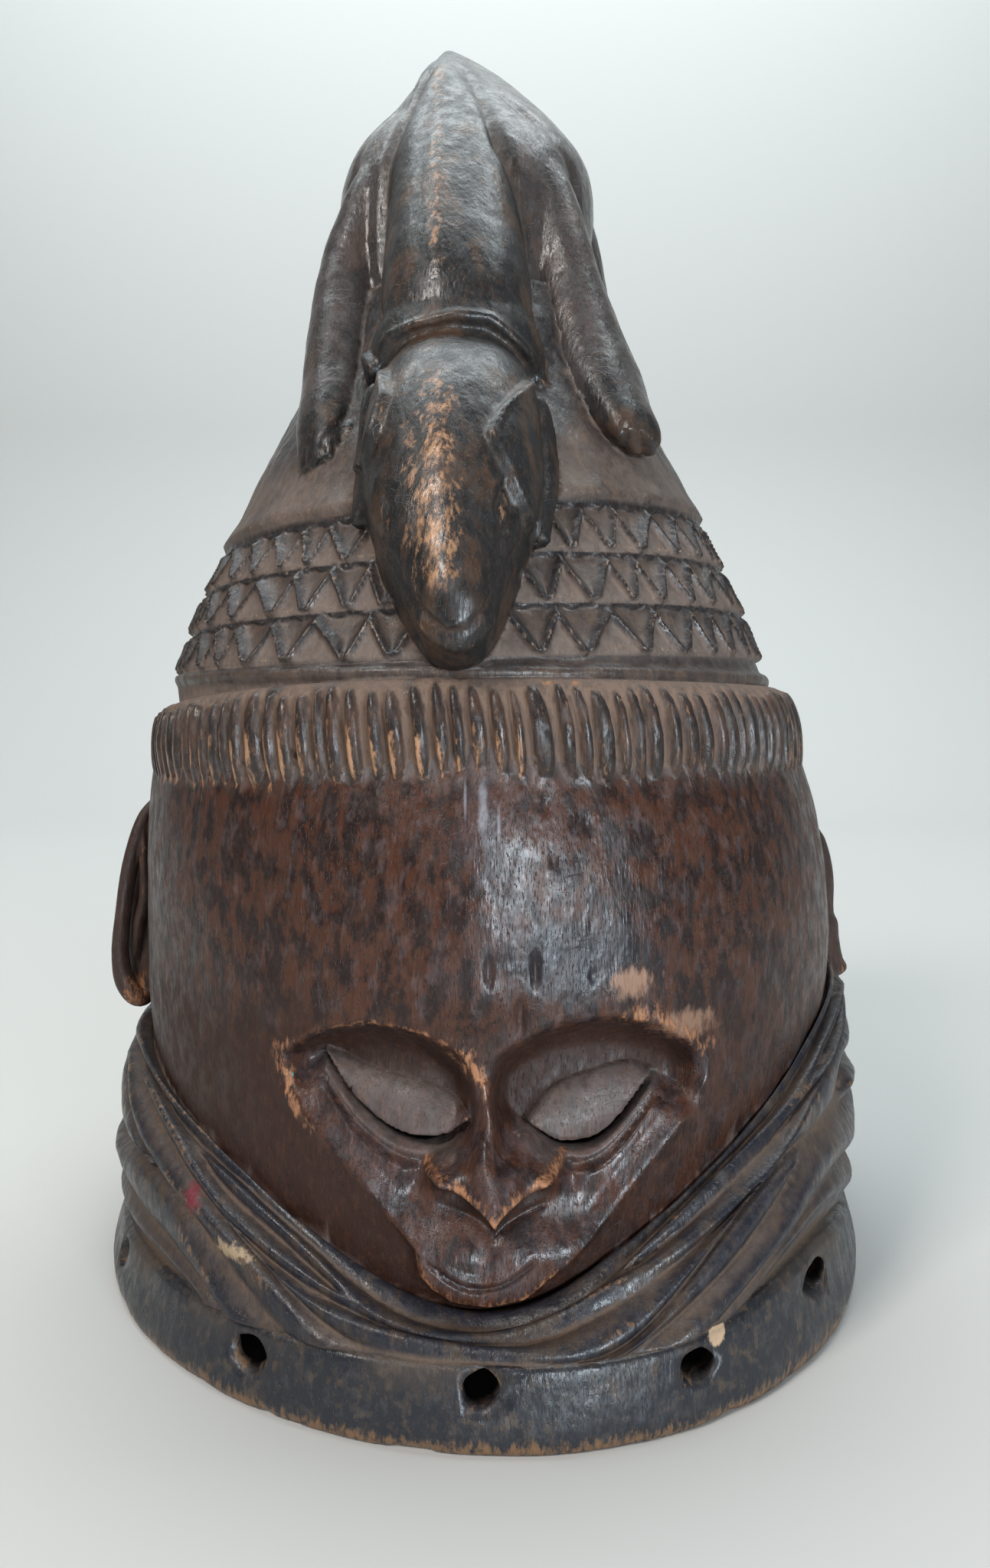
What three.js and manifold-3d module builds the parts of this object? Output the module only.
// A helmet mask carved from one block of wood: a hollow bell with a face, ringed neck,
// ribbed hairline, patterned coiffure and an animal lying head-down over the crest.
// Millimetres, +Z up, the face looks along -Y, +X is the viewer's right.
import * as THREE from 'three';
import { mergeVertices } from 'three/addons/utils/BufferGeometryUtils.js';
import Module from 'manifold-3d';

const wasm = await Module();
wasm.setup();

// Driving sizes
const rimHalfWidth = 112;
const rimHalfDepth = 138;
const rimSkew = 0.05;
const axisX = 1.11;
const axisY = 0;

// The flange's top edge rises to the front and swells out on the viewer's right
const flangeHeight = 15.5;
const flangeFrontRise = 3;
const flangeSwell = 7;
const flangeSwellAngle = 50;
const flangeSwellSpan = 18;
const flangeFlare = 2.5;
const flangeEdgeShare = 0.85;
const flangeEdgeRound = 1.6;

const neckRings = 5;
const frontRingPitch = 6;
const ringRelief = 0.26;
const ringReliefLimit = 3.4;
const ringWander = 0.17;
const neckFootInset = 4;
const chinHeight = 20;
const chinRounding = 0.05;
const jawHeightLeft = 66;
const jawHeightRight = 80;
const jawHeightBack = 76;

const browHeight = 88;
const browEndHeight = 77;
const browReach = 52;
const socketFoot = 59;
const socketDepth = 8.5;
const lidMiddle = 23.5;
const lidHeight = 66;
const lidTilt = 0.17;
const lidHalfLength = 16.5;
const lidHalfHeight = 6.5;
const lidRise = 5.5;
const noseMiddle = 2.9;
const noseRoot = 76;
const noseLength = 28;
const noseTip = 44;
const noseRise = 14.5;
const noseHalfWidth = 16;
const noseRootHalfWidth = 4.2;
const mouthMiddle = -1.5;
const mouthHeight = 28.4;
const mouthCurve = 0.045;
const mouthReach = 19;
const lipRise = 3;
const lipHalfHeight = 6.5;
const mouthDepth = 2.2;
const mouthHalfHeight = 1.4;

// The slits under the lids, lowest at slitLow from the middle
const slitHeight = 60.3;
const slitLow = 16.5;
const slitCurve = 0.022;
const slitStart = 9.5;
const slitEndRight = 36;
const slitEndLeft = 31;
const slitHalfEnd = 0.45;
const slitHalfSwell = 0.8;
const slitSteps = 4;

const bandHeight = 149.5;
const bandDropLeft = 8;
const bandDropRight = 2.5;
const bandHalfHeight = 13;
const bandBulge = 4.5;
const bandRibsFront = 58;
const bandRibsBack = 19;
const ribDepth = 2;
const bandHalfWidth = 91.5;
const bandHalfDepth = 110.5;
const bandSink = 1.5;
const bandSideSpread = 1.6;

const coneFoot = 150;
const coneTop = 272;
const coneDepthRatio = 1.2;
const patternFoot = 167.5;
const patternRows = 3;
const patternRowHeight = 12.4;
const patternCells = 44;
const patternTilt = 3.6;
const patternRelief = 1.9;
const cellFoot = 1;
const cellTipDrop = 1.6;
const cellHollowShare = 0.62;
const cellHollowDepth = 1.4;
const patternRidge = [[0.1, 2.2], [0.3, -0.4]];
const capHeight = 240;
const animalMiddle = -5.5;

// Each ear's foot and top, where its hollow lies and how far it reaches out from the root
const earRoot = 100;
const earForward = 4;
const earHalfDepth = 13;
const earRight = {
  low: 79,
  high: 128,
  hollowAt: 107,
  reach: (share) => 6 + 7.5 * (1 - share),
};
const earLeft = {
  low: 65.7,
  high: 133,
  hollowAt: 110,
  reach: (share) => 15.5 * Math.sin((0.82 - 0.62 * share) * Math.PI),
};

const holeRadius = 4;
const holeInset = 8;
const boreLength = 40;
const boreSides = 6;
// Angle round the rim and height of each fringe hole
const fringeHoles = [[-30, 12], [0, 13.5], [27, 13], [51, 18], [84, 10], [116, 10], [148, 10], [180, 10],
  [-148, 10], [-118, 10], [-89, 10], [-60, 11]];

// Half widths and half depths by height
const headWidth = [[12, 70], [22, 82], [40, 93], [60, 99], [85, 101.5], [110, 101], [130, 98.5],
  [148, 94.5]];
const headDepth = [[12, 104], [22, 116], [40, 119.5], [60, 120], [85, 119.5], [110, 118.5], [130, 116],
  [148, 111]];
const coneWidth = [[150, 88], [165, 87.5], [173, 85], [184, 81], [196, 75.5], [208, 70], [222, 64],
  [235, 57], [247, 50.5], [272, 40]];
const leanByHeight = [[40, 0], [100, 1], [150, -2.5], [170, -4], [250, -4.5], [330, -5.5], [372, -12]];
const cavityWidth = [[-1, 103], [12, 102.5], [22, 98], [45, 94], [90, 90], [130, 86], [165, 76], [190, 60],
  [204, 36], [210, 12]];
const cavityDepth = [[-1, 130], [12, 129], [22, 108], [45, 107], [90, 106], [130, 102], [165, 91], [190, 71],
  [204, 43], [210, 14]];

const degree = Math.PI / 180;

function smooth(from, to, value) {
  const t = Math.min(1, Math.max(0, (value - from) / (to - from)));
  return t * t * (3 - 2 * t);
}

function mix(a, b, share) {
  return a + (b - a) * share;
}

function bell(value, middle, span) {
  return Math.exp(-(((value - middle) / span) ** 2));
}

// A smooth curve through [place, value] stops
function along(stops, place) {
  const last = stops.length - 1;
  if (place <= stops[0][0]) return stops[0][1];
  if (place >= stops[last][0]) return stops[last][1];
  let i = 0;
  while (place > stops[i + 1][0]) i += 1;
  const slope = (a, b) => (stops[b][1] - stops[a][1]) / (stops[b][0] - stops[a][0]);
  const step = stops[i + 1][0] - stops[i][0];
  const t = (place - stops[i][0]) / step;
  const startSlope = slope(Math.max(0, i - 1), i + 1) * step;
  const endSlope = slope(i, Math.min(last, i + 2)) * step;
  const t2 = t * t;
  const t3 = t2 * t;
  return (2 * t3 - 3 * t2 + 1) * stops[i][1] + (t3 - 2 * t2 + t) * startSlope
    + (3 * t2 - 2 * t3) * stops[i + 1][1] + (t3 - t2) * endSlope;
}

function lean(height) {
  return along(leanByHeight, height);
}

// Angles run from the middle of the face towards +X
function onEllipse(angle, halfWidth, halfDepth, height) {
  return new THREE.Vector3(
    lean(height) + halfWidth * Math.sin(angle),
    -halfDepth * Math.cos(angle),
    height,
  );
}

// Turns a list of rings, each a list of points, into a closed skin
function skin(rings) {
  const sides = rings[0].length;
  const places = rings.flat();
  const ends = [rings[0], rings[rings.length - 1]];
  for (const end of ends) {
    const middle = new THREE.Vector3();
    for (const point of end) middle.add(point);
    places.push(middle.divideScalar(sides));
  }
  const index = [];
  for (let ring = 0; ring < rings.length - 1; ring += 1) {
    for (let side = 0; side < sides; side += 1) {
      const next = (side + 1) % sides;
      const a = ring * sides + side;
      const b = ring * sides + next;
      index.push(a, b, b + sides, a, b + sides, a + sides);
    }
  }
  const lowMiddle = rings.length * sides;
  const highStart = (rings.length - 1) * sides;
  for (let side = 0; side < sides; side += 1) {
    const next = (side + 1) % sides;
    index.push(next, side, lowMiddle);
    index.push(highStart + side, highStart + next, lowMiddle + 1);
  }
  const geometry = new THREE.BufferGeometry();
  geometry.setAttribute('position', new THREE.Float32BufferAttribute(places.flatMap((p) => p.toArray()), 3));
  geometry.setIndex(index);
  return geometry;
}

function signedVolume(geometry) {
  const at = geometry.attributes.position;
  const corners = [new THREE.Vector3(), new THREE.Vector3(), new THREE.Vector3()];
  let total = 0;
  for (let i = 0; i < geometry.index.count; i += 3) {
    corners.forEach((corner, k) => corner.fromBufferAttribute(at, geometry.index.getX(i + k)));
    total += corners[0].dot(corners[1].cross(corners[2])) / 6;
  }
  return total;
}

// A geometry as a solid that can be joined and cut
function solid(source) {
  const bare = source.clone();
  bare.deleteAttribute('normal');
  bare.deleteAttribute('uv');
  const merged = mergeVertices(bare, 1e-4);
  const triVerts = Uint32Array.from(merged.index.array);
  if (signedVolume(merged) < 0) {
    for (let i = 0; i < triVerts.length; i += 3) {
      [triVerts[i + 1], triVerts[i + 2]] = [triVerts[i + 2], triVerts[i + 1]];
    }
  }
  const vertProperties = Float32Array.from(merged.attributes.position.array);
  return new wasm.Manifold(new wasm.Mesh({ numProp: 3, vertProperties, triVerts }));
}

function fromSolid(body) {
  const mesh = body.getMesh();
  const geometry = new THREE.BufferGeometry();
  geometry.setAttribute('position', new THREE.Float32BufferAttribute(mesh.vertProperties, 3));
  geometry.setIndex(Array.from(mesh.triVerts));
  geometry.computeVertexNormals();
  return geometry;
}

// Columns closer together over the face than round the back
function columns(closeSpan, closeStep, sideStep, backStep) {
  const half = [];
  let angle = 0;
  while (angle < 180) {
    half.push(angle);
    if (angle < closeSpan) angle += closeStep;
    else if (angle < 90) angle += sideStep;
    else angle += backStep;
  }
  const right = half.map((a) => a * degree);
  const left = half.slice(1).reverse().map((a) => -a * degree);
  return [...right, Math.PI, ...left];
}

// A limb or body along a path of [x, y, z, half width, half thickness] stations
function limb(stations, ringCount, sides, power = 2, roll = 0) {
  const path = new THREE.CatmullRomCurve3(stations.map(([x, y, z]) => new THREE.Vector3(x, y, z)));
  const last = stations.length - 1;
  const widths = stations.map((station, i) => [i / last, station[3]]);
  const heights = stations.map((station, i) => [i / last, station[4]]);
  const rings = [];
  for (let ring = 0; ring < ringCount; ring += 1) {
    const t = ring / (ringCount - 1);
    const centre = path.getPoint(t);
    const forward = path.getTangent(t);
    const out = new THREE.Vector3(Math.sin(roll), -Math.cos(roll), 0.35);
    const across = new THREE.Vector3().crossVectors(forward, out).normalize();
    const up = new THREE.Vector3().crossVectors(across, forward).normalize();
    const width = along(widths, t);
    const height = along(heights, t);
    const points = [];
    for (let side = 0; side < sides; side += 1) {
      const turn = ((side + 0.5) / sides) * Math.PI * 2;
      const c = Math.cos(turn);
      const s = Math.sin(turn);
      const x = Math.sign(c) * Math.abs(c) ** (2 / power) * width;
      const y = Math.sign(s) * Math.abs(s) ** (2 / power) * height;
      points.push(centre.clone().addScaledVector(across, x).addScaledVector(up, y));
    }
    rings.push(points);
  }
  return solid(skin(rings));
}

// The rim flange, a smooth band that the mask stands on
function rimPoint(angle, height, inset) {
  const point = onEllipse(angle, rimHalfWidth - inset, rimHalfDepth - inset, 0);
  const front = Math.max(0, Math.cos(angle));
  point.y *= 1 + rimSkew * Math.sin(angle) * front;
  point.z = height;
  return point;
}

function flangeTop(angle) {
  const front = Math.max(0, Math.cos(angle));
  const swell = bell(angle, flangeSwellAngle * degree, flangeSwellSpan * degree);
  return flangeHeight + flangeFrontRise * front + flangeSwell * swell;
}

function flange() {
  const sides = columns(84, 7, 12, 15);
  const levels = [[0, 0], [flangeEdgeShare, flangeFlare], [1, flangeFlare + flangeEdgeRound]];
  return solid(skin(levels.map(([share, inset]) => (
    sides.map((angle) => rimPoint(angle, share * flangeTop(angle), inset))))));
}

// The face, with its brows, hooded eyes, wedge nose and small mouth
function socket(x, z) {
  const far = Math.abs(x);
  const arch = Math.sin(Math.min(1, far / (browReach - 2)) * Math.PI) ** 0.7;
  const brow = mix(browEndHeight, browHeight, arch);
  const low = socketFoot + 0.011 * (far - 20) ** 2;
  const within = smooth(brow + 2, brow - 6, z) * smooth(low - 4, low + 6, z);
  const across = smooth(browReach, browReach - 12, far) * smooth(1, 7, far);
  return -socketDepth * within * across;
}

function lid(x, z) {
  const far = Math.abs(x);
  const middle = lidHeight + lidTilt * (far - 20);
  const share = 1 - ((far - lidMiddle) / lidHalfLength) ** 2;
  if (share <= 0) return 0;
  const up = (z - middle) / (lidHalfHeight * share);
  return lidRise * share ** 0.5 * smooth(1.15, 0.1, Math.abs(up));
}

function nose(x, z) {
  const across = Math.abs(x - noseMiddle * smooth(noseRoot, noseTip, z));
  const drop = (noseRoot - z) / noseLength;
  if (drop <= 0 || z < noseTip) return 0;
  const halfWidth = mix(noseRootHalfWidth, noseHalfWidth, smooth(0.15, 0.85, drop));
  const underside = smooth(noseTip - 0.5, noseTip + 4.5, z + 0.28 * across);
  const rise = mix(2, noseRise, Math.min(1, drop) ** 1.15) * underside;
  return rise * Math.max(0, 1 - across / halfWidth) ** 0.85 * smooth(0, 0.18, drop);
}

function mouth(x, z) {
  const across = x - mouthMiddle;
  const line = mouthHeight + mouthCurve * across * across;
  const near = smooth(mouthReach, mouthReach - 11, Math.abs(across));
  const lips = lipRise * bell(z, line, lipHalfHeight);
  const parting = mouthDepth * bell(z, line, mouthHalfHeight);
  return (lips - parting) * near;
}

function headPoint(angle, height) {
  const point = onEllipse(angle, along(headWidth, height), along(headDepth, height), height);
  if (Math.cos(angle) > 0) {
    const { x } = point;
    point.y -= socket(x, height) + lid(x, height) + nose(x, height) + mouth(x, height);
  }
  return point;
}

function head() {
  const sides = columns(33, 3.3, 11.4, 18);
  const levels = [12, 18, 22.5, 26, 28.5, 31.5, 35.5, 40, 44, 47.5, 51, 55, 58.5, 62, 66, 70, 74.5, 79,
    83.5, 88, 96, 108, 126, 148];
  return solid(skin(levels.map((height) => sides.map((angle) => headPoint(angle, height)))));
}

// The ringed neck, which runs along the jaw and ends on the flange
function jawHeight(angle) {
  const turn = Math.abs(angle);
  const side = mix(jawHeightLeft, jawHeightRight, smooth(-60 * degree, 60 * degree, angle));
  const reach = turn < Math.PI / 2 ? Math.sin(turn) : 1;
  const nape = smooth(Math.PI / 2, Math.PI, turn);
  const start = Math.sqrt(chinRounding);
  const climb = (Math.sqrt(reach * reach + chinRounding) - start) / (Math.sqrt(1 + chinRounding) - start);
  return mix(mix(chinHeight, side, climb), jawHeightBack, nape);
}

function neckRing(angle, phase) {
  const jaw = headPoint(angle, jawHeight(angle));
  jaw.y = onEllipse(angle, 1, along(headDepth, jaw.z), jaw.z).y;
  const foot = rimPoint(angle, flangeTop(angle), flangeFlare + 0.8);
  const shoulder = jaw.clone().lerp(foot, 0.8).setZ(jaw.z + 1);
  const slope = new THREE.QuadraticBezierCurve3(jaw, shoulder, foot);
  const length = slope.getLength();
  const turned = smooth(15 * degree, 75 * degree, Math.abs(angle));
  const pitch = mix(frontRingPitch, length / neckRings, turned);
  const wander = ringWander * Math.sin(4 * angle + 2.2 * phase) * Math.sin(Math.PI * phase / neckRings);
  const run = (phase + wander) * pitch;
  const t = Math.min(1, run / length);
  const point = slope.getPoint(t);
  const heading = slope.getTangent(t);
  const outward = new THREE.Vector3(Math.sin(angle), -Math.cos(angle), 0);
  const across = outward.clone().cross(new THREE.Vector3(0, 0, 1));
  const normal = new THREE.Vector3().crossVectors(across, heading).normalize();
  if (normal.dot(outward) + normal.z < 0) normal.negate();
  const relief = Math.min(ringReliefLimit, ringRelief * pitch);
  point.addScaledVector(normal, relief * (Math.abs(Math.sin(Math.PI * phase)) ** 0.7 - 0.35));
  if (run > length) {
    point.z -= run - length;
    point.addScaledVector(outward, -neckFootInset);
  }
  return point;
}

function neck() {
  const sides = columns(84, 7, 12, 15);
  const rings = [sides.map((angle) => {
    const start = neckRing(angle, 0);
    return new THREE.Vector3(start.x * 0.82, start.y * 0.82, start.z + 1);
  })];
  for (let step = 0; step <= neckRings * 3; step += 1) {
    rings.push(sides.map((angle) => neckRing(angle, step / 3)));
  }
  rings.push(sides.map((angle) => {
    const last = neckRing(angle, neckRings);
    const low = Math.min(last.z, flangeTop(angle)) - 3.5;
    return rimPoint(angle, Math.max(2, low), 9);
  }));
  return solid(skin(rings.reverse()));
}

// The ribbed band of hair along the forehead
function bandMiddle(angle) {
  const side = Math.sin(angle);
  return bandHeight - (side < 0 ? bandDropLeft : bandDropRight) * side * side;
}

function bandHalf(angle) {
  return bandHalfHeight + bandSideSpread * Math.sin(angle) ** 2;
}

function bandPoint(angle, share, ribShare) {
  const height = bandMiddle(angle) + share * bandHalf(angle);
  const point = onEllipse(angle, bandHalfWidth, bandHalfDepth, height);
  const round = Math.sqrt(Math.max(0, 1 - share * share));
  const outward = new THREE.Vector3(Math.sin(angle), -Math.cos(angle), 0);
  return point.addScaledVector(outward, bandBulge * round + ribDepth * ribShare * round ** 0.5 - bandSink);
}

function band() {
  const angles = [];
  for (let k = 0; k < bandRibsFront * 2; k += 1) {
    angles.push(-Math.PI / 2 + (k / (bandRibsFront * 2)) * Math.PI);
  }
  for (let k = 0; k < bandRibsBack * 2; k += 1) {
    angles.push(Math.PI / 2 + (k / (bandRibsBack * 2)) * Math.PI);
  }
  const rings = [-1, -0.62, 0.62, 1].map((share) => angles.map((angle, k) => bandPoint(angle, share, k % 2)));
  return solid(skin(rings));
}

// The coiffure, a leaning cone with three rows of raised triangles under a ridge
function conePoint(angle, height, raise) {
  const width = along(coneWidth, height) + raise;
  return onEllipse(angle, width, width * coneDepthRatio, height);
}

function patternHeight(angle, row) {
  return patternFoot + row * patternRowHeight + patternTilt * Math.sin(angle) * (0.6 + 0.25 * row);
}

// Rings of chip-carved cells: flat triangles point up, sunk ones point down between them
function coiffure() {
  const step = (Math.PI * 2) / patternCells;
  const places = [];
  const index = [];
  const ring = (offset, heightAt, raise) => {
    const start = places.length;
    for (let cell = 0; cell < patternCells; cell += 1) {
      const angle = (cell + offset) * step;
      places.push(conePoint(angle, heightAt(angle), raise));
    }
    return start;
  };
  // Stitches two rings, where the lower one may stand half a cell on
  const stitch = (low, high, lowIsOn) => {
    for (let cell = 0; cell < patternCells; cell += 1) {
      const next = (cell + 1) % patternCells;
      if (lowIsOn) {
        index.push(low + cell, high + next, high + cell, low + cell, low + next, high + next);
      } else {
        index.push(low + cell, low + next, high + next, low + cell, high + next, high + cell);
      }
    }
  };
  const bottom = ring(0, () => coneFoot, 0);
  let below = ring(0, (angle) => patternHeight(angle, 0), -0.6);
  stitch(bottom, below, false);
  for (let row = 0; row < patternRows; row += 1) {
    const above = (rise) => (angle) => patternHeight(angle, row) + rise;
    const foot = ring(0, above(cellFoot), patternRelief);
    const tips = ring(0.5, above(patternRowHeight - cellTipDrop), patternRelief);
    const hollows = ring(0, above(patternRowHeight * cellHollowShare), -cellHollowDepth);
    stitch(below, foot, row > 0);
    for (let cell = 0; cell < patternCells; cell += 1) {
      const next = (cell + 1) % patternCells;
      index.push(foot + cell, foot + next, tips + cell);
      index.push(foot + next, hollows + next, tips + cell);
      index.push(foot + next, tips + next, hollows + next);
      index.push(hollows + next, tips + next, tips + cell);
    }
    below = ring(0.5, (angle) => patternHeight(angle, row + 1), -0.8);
    stitch(tips, below, false);
  }
  for (const [rowShare, raise] of patternRidge) {
    const next = ring(0.5, (angle) => patternHeight(angle, patternRows + rowShare), raise);
    stitch(below, next, false);
    below = next;
  }
  for (const height of [capHeight, coneTop]) {
    const next = ring(0.5, () => height, 0);
    stitch(below, next, false);
    below = next;
  }
  const middles = [coneFoot, coneTop].map((height) => (
    places.push(new THREE.Vector3(lean(height), 0, height)) - 1));
  for (let cell = 0; cell < patternCells; cell += 1) {
    const next = (cell + 1) % patternCells;
    index.push(bottom + next, bottom + cell, middles[0]);
    index.push(below + cell, below + next, middles[1]);
  }
  const geometry = new THREE.BufferGeometry();
  geometry.setAttribute('position', new THREE.Float32BufferAttribute(places.flatMap((p) => p.toArray()), 3));
  geometry.setIndex(index);
  return solid(geometry);
}

// The animal, head-down on the front of the coiffure with its rump as the summit
function summit() {
  const levels = [[262, 34, 44, -6, -4], [290, 37.5, 46, -6, 3], [310, 39, 44, -5.5, 8],
    [324, 35.5, 38, -5.3, 12], [339, 25, 28, -5.2, 18], [355, 13, 15, -8, 24], [363, 6, 7, -10.5, 26],
    [367.5, 1.5, 2.5, -12, 27]];
  const sides = 20;
  return solid(skin(levels.map(([height, width, depth, x, y]) => {
    const points = [];
    for (let side = 0; side < sides; side += 1) {
      const angle = (side / sides) * Math.PI * 2;
      points.push(new THREE.Vector3(x + width * Math.sin(angle), y - depth * Math.cos(angle), height));
    }
    return points;
  })));
}

function animalBody() {
  return limb([[-12, 22, 361, 3, 4], [-10.5, 3, 340, 12, 11], [-9, -18, 312, 17, 16], [-8, -36, 284, 19, 19],
    [-7, -50, 256, 20.5, 22], [-7, -56, 238, 18, 17]], 10, 10, 2.2);
}

function foreleg(side) {
  const x = (offset) => animalMiddle + side * offset;
  const drop = side > 0 ? 0 : 8;
  return limb([[x(16), -14, 312, 6, 9], [x(24), -20, 290, 8.5, 14], [x(29), -22, 268, 10, 16],
    [x(33), -27, 250, 10, 15], [x(38), -38, 238 - drop, 9.5, 9], [x(40), -48, 230 - drop, 8.5, 5]],
  8, 8, 2.2, side * 0.9);
}

function hindLeg(side) {
  const x = (offset) => animalMiddle + side * offset;
  return limb([[x(24), 32, 322, 12, 13], [x(31), 40, 296, 14, 17], [x(34), 42, 268, 12, 16],
    [x(34), 52, 244, 10, 12], [x(31), 66, 226, 9, 6]], 7, 8, 2.2, Math.PI - side * 0.6);
}

function tail() {
  return limb([[-12, 34, 356, 3.5, 5], [-9, 48, 330, 5, 7], [-7, 52, 298, 5, 8], [-6, 60, 262, 4.5, 9],
    [-6, 78, 226, 3.5, 7]], 6, 6, 2, Math.PI);
}

function animalHead() {
  const skull = limb([[-7, -55, 241, 17, 17], [-7, -70, 226, 21, 22], [-7, -84, 207, 21.5, 23],
    [-7, -97, 190, 18, 19], [-6, -109, 177, 11.5, 13], [-5.5, -117, 169.5, 7, 7.5]], 10, 12, 2.4);
  const jaw = limb([[-7, -76, 205, 19, 20], [-7, -88, 191, 20.5, 17], [-6.5, -99, 178, 16, 14],
    [-6, -106, 169.5, 9.5, 10], [-5.5, -111, 164.5, 4.5, 6]], 8, 10, 2.2);
  const nape = limb([[-7, -46, 247, 22, 22], [-7, -53, 243, 23.5, 24], [-7, -59, 237, 21, 21.5]], 3, 12, 2.2);
  return skull.add(jaw).add(nape);
}

// A leaf-shaped plate between two ends, the animal's ear
function leaf(top, foot, width, thick, normal) {
  const lengthwise = foot.clone().sub(top);
  const across = new THREE.Vector3().crossVectors(lengthwise, normal).normalize();
  const rings = [];
  for (const share of [0.04, 0.2, 0.42, 0.68, 0.92]) {
    const half = width * Math.sin(Math.PI * share ** 0.7) ** 0.8;
    const centre = top.clone().addScaledVector(lengthwise, share);
    rings.push([[-1, 0], [-0.6, 0.8], [0.6, 0.8], [1, 0], [0.6, -1], [-0.6, -1]].map(([w, n]) => (
      centre.clone().addScaledVector(across, w * half).addScaledVector(normal, n * thick))));
  }
  return solid(skin(rings));
}

function animalEars() {
  const right = leaf(new THREE.Vector3(11, -72, 234), new THREE.Vector3(14, -93, 192), 8.5, 3,
    new THREE.Vector3(0.75, -0.6, 0.25).normalize());
  const left = leaf(new THREE.Vector3(-26, -68, 237), new THREE.Vector3(-29, -86, 197), 8, 3,
    new THREE.Vector3(-0.95, -0.25, 0.2).normalize());
  return right.add(left);
}

// The ears of the mask: upright half-leaves with a hollow behind the rim
function ear(side, { low, high, hollowAt, reach }) {
  const sides = 8;
  const rings = [0, 0.1, 0.35, 0.65, 0.9, 1].map((share) => {
    const height = mix(low, high, share);
    const plump = Math.sin(Math.PI * mix(0.14, 0.82, share)) ** 0.5;
    const points = [];
    for (let k = 0; k < sides; k += 1) {
      const turn = ((k + 0.5) / sides) * Math.PI * 2;
      const out = Math.max(-0.5, Math.cos(turn)) * reach(share) * plump;
      const back = earHalfDepth * plump * Math.sin(turn) - earForward;
      points.push(new THREE.Vector3(side * (earRoot + out), back, height));
    }
    return points;
  });
  const hollow = [[0.3, 0.55], [0.5, 1], [0.72, 0.55]].map(([share, wide]) => {
    const height = mix(low, high, share);
    return [[-1, 0], [0, -1], [1, 0], [0, 1]].map(([out, back]) => (
      new THREE.Vector3(side * (hollowAt + 4 * out * wide), 7 * wide * back - earHalfDepth, height)));
  });
  return solid(skin(rings)).subtract(solid(skin(hollow)));
}

// The hollow inside, up to a low dome under the coiffure
function cavity() {
  const sides = 22;
  const levels = [-1, 12, 22, 45, 95, 135, 165, 188, 205];
  return solid(skin(levels.map((height) => {
    const points = [];
    for (let side = 0; side < sides; side += 1) {
      const angle = (side / sides) * Math.PI * 2;
      points.push(onEllipse(angle, along(cavityWidth, height), along(cavityDepth, height), height));
    }
    return points;
  })));
}

// Holes through the flange, bored along Y at the front and back and along X at the sides
function fringeHole([turn, height]) {
  const angle = turn * degree;
  const centre = rimPoint(angle, height, holeInset);
  const atSide = Math.abs(Math.cos(angle)) < 0.6;
  const bore = new THREE.CylinderGeometry(holeRadius, holeRadius, boreLength, boreSides);
  if (atSide) bore.rotateZ(Math.PI / 2);
  bore.translate(centre.x, centre.y, centre.z);
  return solid(bore);
}

// The narrow slit under each lid
function eyeSlit(side) {
  const shape = new THREE.Shape();
  const slitEnd = side > 0 ? slitEndRight : slitEndLeft;
  const edge = (k, sign) => {
    const x = mix(slitStart, slitEnd, k / slitSteps);
    const middle = slitHeight + slitCurve * (x - slitLow) ** 2;
    const half = slitHalfEnd + slitHalfSwell * Math.sin((k / slitSteps) * Math.PI);
    return [side * x, middle + sign * half];
  };
  shape.moveTo(...edge(0, -1));
  for (let k = 1; k <= slitSteps; k += 1) shape.lineTo(...edge(k, -1));
  for (let k = slitSteps; k >= 0; k -= 1) shape.lineTo(...edge(k, 1));
  const geometry = new THREE.ExtrudeGeometry(shape, { depth: 60, bevelEnabled: false });
  geometry.rotateX(Math.PI / 2);
  geometry.translate(0, -80, 0);
  return solid(geometry);
}

function mask() {
  const outside = wasm.Manifold.union([
    flange(), neck(), head(), band(), coiffure(), summit(), animalBody(),
    foreleg(1), foreleg(-1), hindLeg(1), hindLeg(-1), tail(), animalHead(), animalEars(),
    ear(1, earRight), ear(-1, earLeft),
  ]);
  const cuts = wasm.Manifold.union([
    cavity(), eyeSlit(1), eyeSlit(-1), ...fringeHoles.map(fringeHole),
  ]);
  return outside.subtract(cuts);
}

const darkWood = new THREE.MeshStandardMaterial({ color: 0x2b1c14, roughness: 0.42, metalness: 0 });
const maskMesh = new THREE.Mesh(fromSolid(mask()), darkWood);
maskMesh.name = 'helmet_mask';
maskMesh.position.set(axisX, axisY, 0);

const helmetMask = new THREE.Group();
helmetMask.add(maskMesh);

export default helmetMask;
